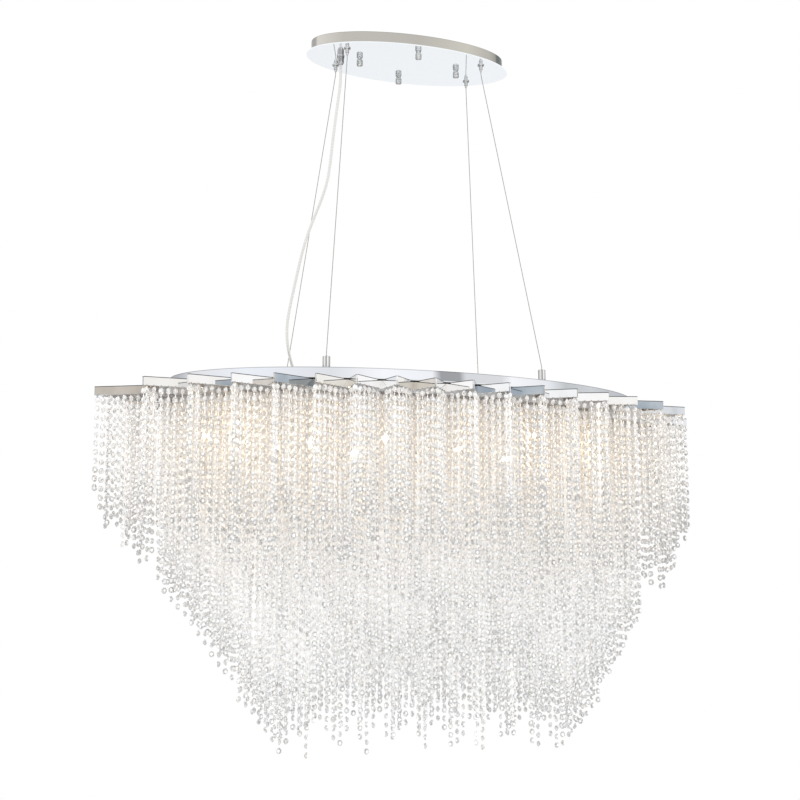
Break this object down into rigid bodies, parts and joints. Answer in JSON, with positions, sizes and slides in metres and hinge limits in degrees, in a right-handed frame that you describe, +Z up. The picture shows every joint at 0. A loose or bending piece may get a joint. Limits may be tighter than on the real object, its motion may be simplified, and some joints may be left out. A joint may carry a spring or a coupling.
{
  "type": "crystal chandelier",
  "caption": "Linear oval chandelier: mirror canopy, steel cables and clear cord, chrome ring and frame, zigzag strips with hanging bead strands that lengthen to the middle.",
  "frame": {"origin": "centre of the ceiling bracket on the ceiling plane; everything hangs below it", "axes": "+Z up to the ceiling, +X along the length of the oval, +Y towards the back in the picture"},
  "size_m": [1.2002, 0.536, 1.387],
  "materials": {
    "crystal": "cut clear crystal",
    "lamp_glass": "clear tubular lamp with a warm glow",
    "mirror_chrome": "mirror polished",
    "chrome": "polished",
    "frame_chrome": "polished",
    "canopy_mirror": "mirror polished",
    "satin_nickel": "satin",
    "nickel": "bright nickel",
    "zinc_steel": "zinc plated",
    "cable_steel": "stranded wire",
    "clear_cord": "clear jacket over silver conductors",
    "socket_white": "matte",
    "white_paint": "satin",
    "wire_white": "matte",
    "connector_plastic": "matte",
    "ground_green": "satin"
  },
  "bodies": {
    "fixture": {"bracket_studs": "zinc_steel", "cable_grips": "nickel", "cable_posts": "nickel", "canopy_leads": "wire_white", "canopy_plate": "canopy_mirror", "canopy_rim": "satin_nickel", "ceiling_bracket": "zinc_steel", "cord_gland": "nickel", "cross_bars": "frame_chrome", "frame_strain_relief": "nickel", "gland_nut": "zinc_steel", "grip_nuts": "zinc_steel", "ground_screw": "ground_green", "junction_box": "white_paint", "junction_lid": "white_paint", "lamp_rails": "frame_chrome", "lamp_sockets": "socket_white", "lamp_wires": "wire_white", "outer_strands_far_left": "crystal", "outer_strands_far_right": "crystal", "outer_strands_left_end": "crystal", "outer_strands_near_left": "crystal", "outer_strands_near_right": "crystal", "outer_strands_right_end": "crystal", "oval_frame": "frame_chrome", "oval_ring": "chrome", "power_cord": "clear_cord", "row_strands_far_inner": "crystal", "row_strands_far_mid": "crystal", "row_strands_far_outer": "crystal", "row_strands_middle": "crystal", "row_strands_near_inner": "crystal", "row_strands_near_mid": "crystal", "row_strands_near_outer": "crystal", "strand_bars_far": "mirror_chrome", "strand_bars_near": "mirror_chrome", "suspension_cables": "cable_steel", "v_brackets_far": "mirror_chrome", "v_brackets_near": "mirror_chrome", "wire_connectors": "connector_plastic"},
    "cap_nut_1": {"cap_nut_1": "nickel"},
    "cap_nut_2": {"cap_nut_2": "nickel"},
    "cap_nut_3": {"cap_nut_3": "nickel"},
    "cap_nut_4": {"cap_nut_4": "nickel"},
    "release_collar_1": {"release_collar_1": "nickel"},
    "release_collar_2": {"release_collar_2": "nickel"},
    "release_collar_3": {"release_collar_3": "nickel"},
    "release_collar_4": {"release_collar_4": "nickel"},
    "lamp_01": {"lamp_01": "lamp_glass"},
    "lamp_02": {"lamp_02": "lamp_glass"},
    "lamp_03": {"lamp_03": "lamp_glass"},
    "lamp_04": {"lamp_04": "lamp_glass"},
    "lamp_05": {"lamp_05": "lamp_glass"},
    "lamp_06": {"lamp_06": "lamp_glass"},
    "lamp_07": {"lamp_07": "lamp_glass"},
    "lamp_08": {"lamp_08": "lamp_glass"},
    "lamp_09": {"lamp_09": "lamp_glass"},
    "lamp_10": {"lamp_10": "lamp_glass"},
    "lamp_11": {"lamp_11": "lamp_glass"},
    "lamp_12": {"lamp_12": "lamp_glass"}
  },
  "joints": [
    {"name": "cap_nut_1_turn", "type": "hinge", "parent": "fixture", "child": "cap_nut_1", "pos_m": [-0.102, 0, -0.035], "axis": [0, 0, 1], "continuous": true},
    {"name": "cap_nut_2_turn", "type": "hinge", "parent": "fixture", "child": "cap_nut_2", "pos_m": [0.102, 0, -0.035], "axis": [0, 0, 1], "continuous": true},
    {"name": "cap_nut_3_turn", "type": "hinge", "parent": "fixture", "child": "cap_nut_3", "pos_m": [0, -0.066, -0.035], "axis": [0, 0, 1], "continuous": true},
    {"name": "cap_nut_4_turn", "type": "hinge", "parent": "fixture", "child": "cap_nut_4", "pos_m": [0, 0.066, -0.035], "axis": [0, 0, 1], "continuous": true},
    {"name": "release_collar_1_push", "type": "slide", "parent": "fixture", "child": "release_collar_1", "axis": [0, 0, 1], "range_m": [0, 0.0025], "stiffness_N_per_m": 400, "springref_m": -0.001},
    {"name": "release_collar_2_push", "type": "slide", "parent": "fixture", "child": "release_collar_2", "axis": [0, 0, 1], "range_m": [0, 0.0025], "stiffness_N_per_m": 400, "springref_m": -0.001},
    {"name": "release_collar_3_push", "type": "slide", "parent": "fixture", "child": "release_collar_3", "axis": [0, 0, 1], "range_m": [0, 0.0025], "stiffness_N_per_m": 400, "springref_m": -0.001},
    {"name": "release_collar_4_push", "type": "slide", "parent": "fixture", "child": "release_collar_4", "axis": [0, 0, 1], "range_m": [0, 0.0025], "stiffness_N_per_m": 400, "springref_m": -0.001},
    {"name": "lamp_01_turn", "type": "hinge", "parent": "fixture", "child": "lamp_01", "pos_m": [-0.34998, -0.084, -0.75], "axis": [0, 0, 1], "continuous": true},
    {"name": "lamp_02_turn", "type": "hinge", "parent": "fixture", "child": "lamp_02", "pos_m": [-0.20999, -0.084, -0.75], "axis": [0, 0, 1], "continuous": true},
    {"name": "lamp_03_turn", "type": "hinge", "parent": "fixture", "child": "lamp_03", "pos_m": [-0.07, -0.084, -0.75], "axis": [0, 0, 1], "continuous": true},
    {"name": "lamp_04_turn", "type": "hinge", "parent": "fixture", "child": "lamp_04", "pos_m": [0.07, -0.084, -0.75], "axis": [0, 0, 1], "continuous": true},
    {"name": "lamp_05_turn", "type": "hinge", "parent": "fixture", "child": "lamp_05", "pos_m": [0.20999, -0.084, -0.75], "axis": [0, 0, 1], "continuous": true},
    {"name": "lamp_06_turn", "type": "hinge", "parent": "fixture", "child": "lamp_06", "pos_m": [0.34998, -0.084, -0.75], "axis": [0, 0, 1], "continuous": true},
    {"name": "lamp_07_turn", "type": "hinge", "parent": "fixture", "child": "lamp_07", "pos_m": [-0.34998, 0.084, -0.75], "axis": [0, 0, 1], "continuous": true},
    {"name": "lamp_08_turn", "type": "hinge", "parent": "fixture", "child": "lamp_08", "pos_m": [-0.20999, 0.084, -0.75], "axis": [0, 0, 1], "continuous": true},
    {"name": "lamp_09_turn", "type": "hinge", "parent": "fixture", "child": "lamp_09", "pos_m": [-0.07, 0.084, -0.75], "axis": [0, 0, 1], "continuous": true},
    {"name": "lamp_10_turn", "type": "hinge", "parent": "fixture", "child": "lamp_10", "pos_m": [0.07, 0.084, -0.75], "axis": [0, 0, 1], "continuous": true},
    {"name": "lamp_11_turn", "type": "hinge", "parent": "fixture", "child": "lamp_11", "pos_m": [0.20999, 0.084, -0.75], "axis": [0, 0, 1], "continuous": true},
    {"name": "lamp_12_turn", "type": "hinge", "parent": "fixture", "child": "lamp_12", "pos_m": [0.34998, 0.084, -0.75], "axis": [0, 0, 1], "continuous": true}
  ]
}
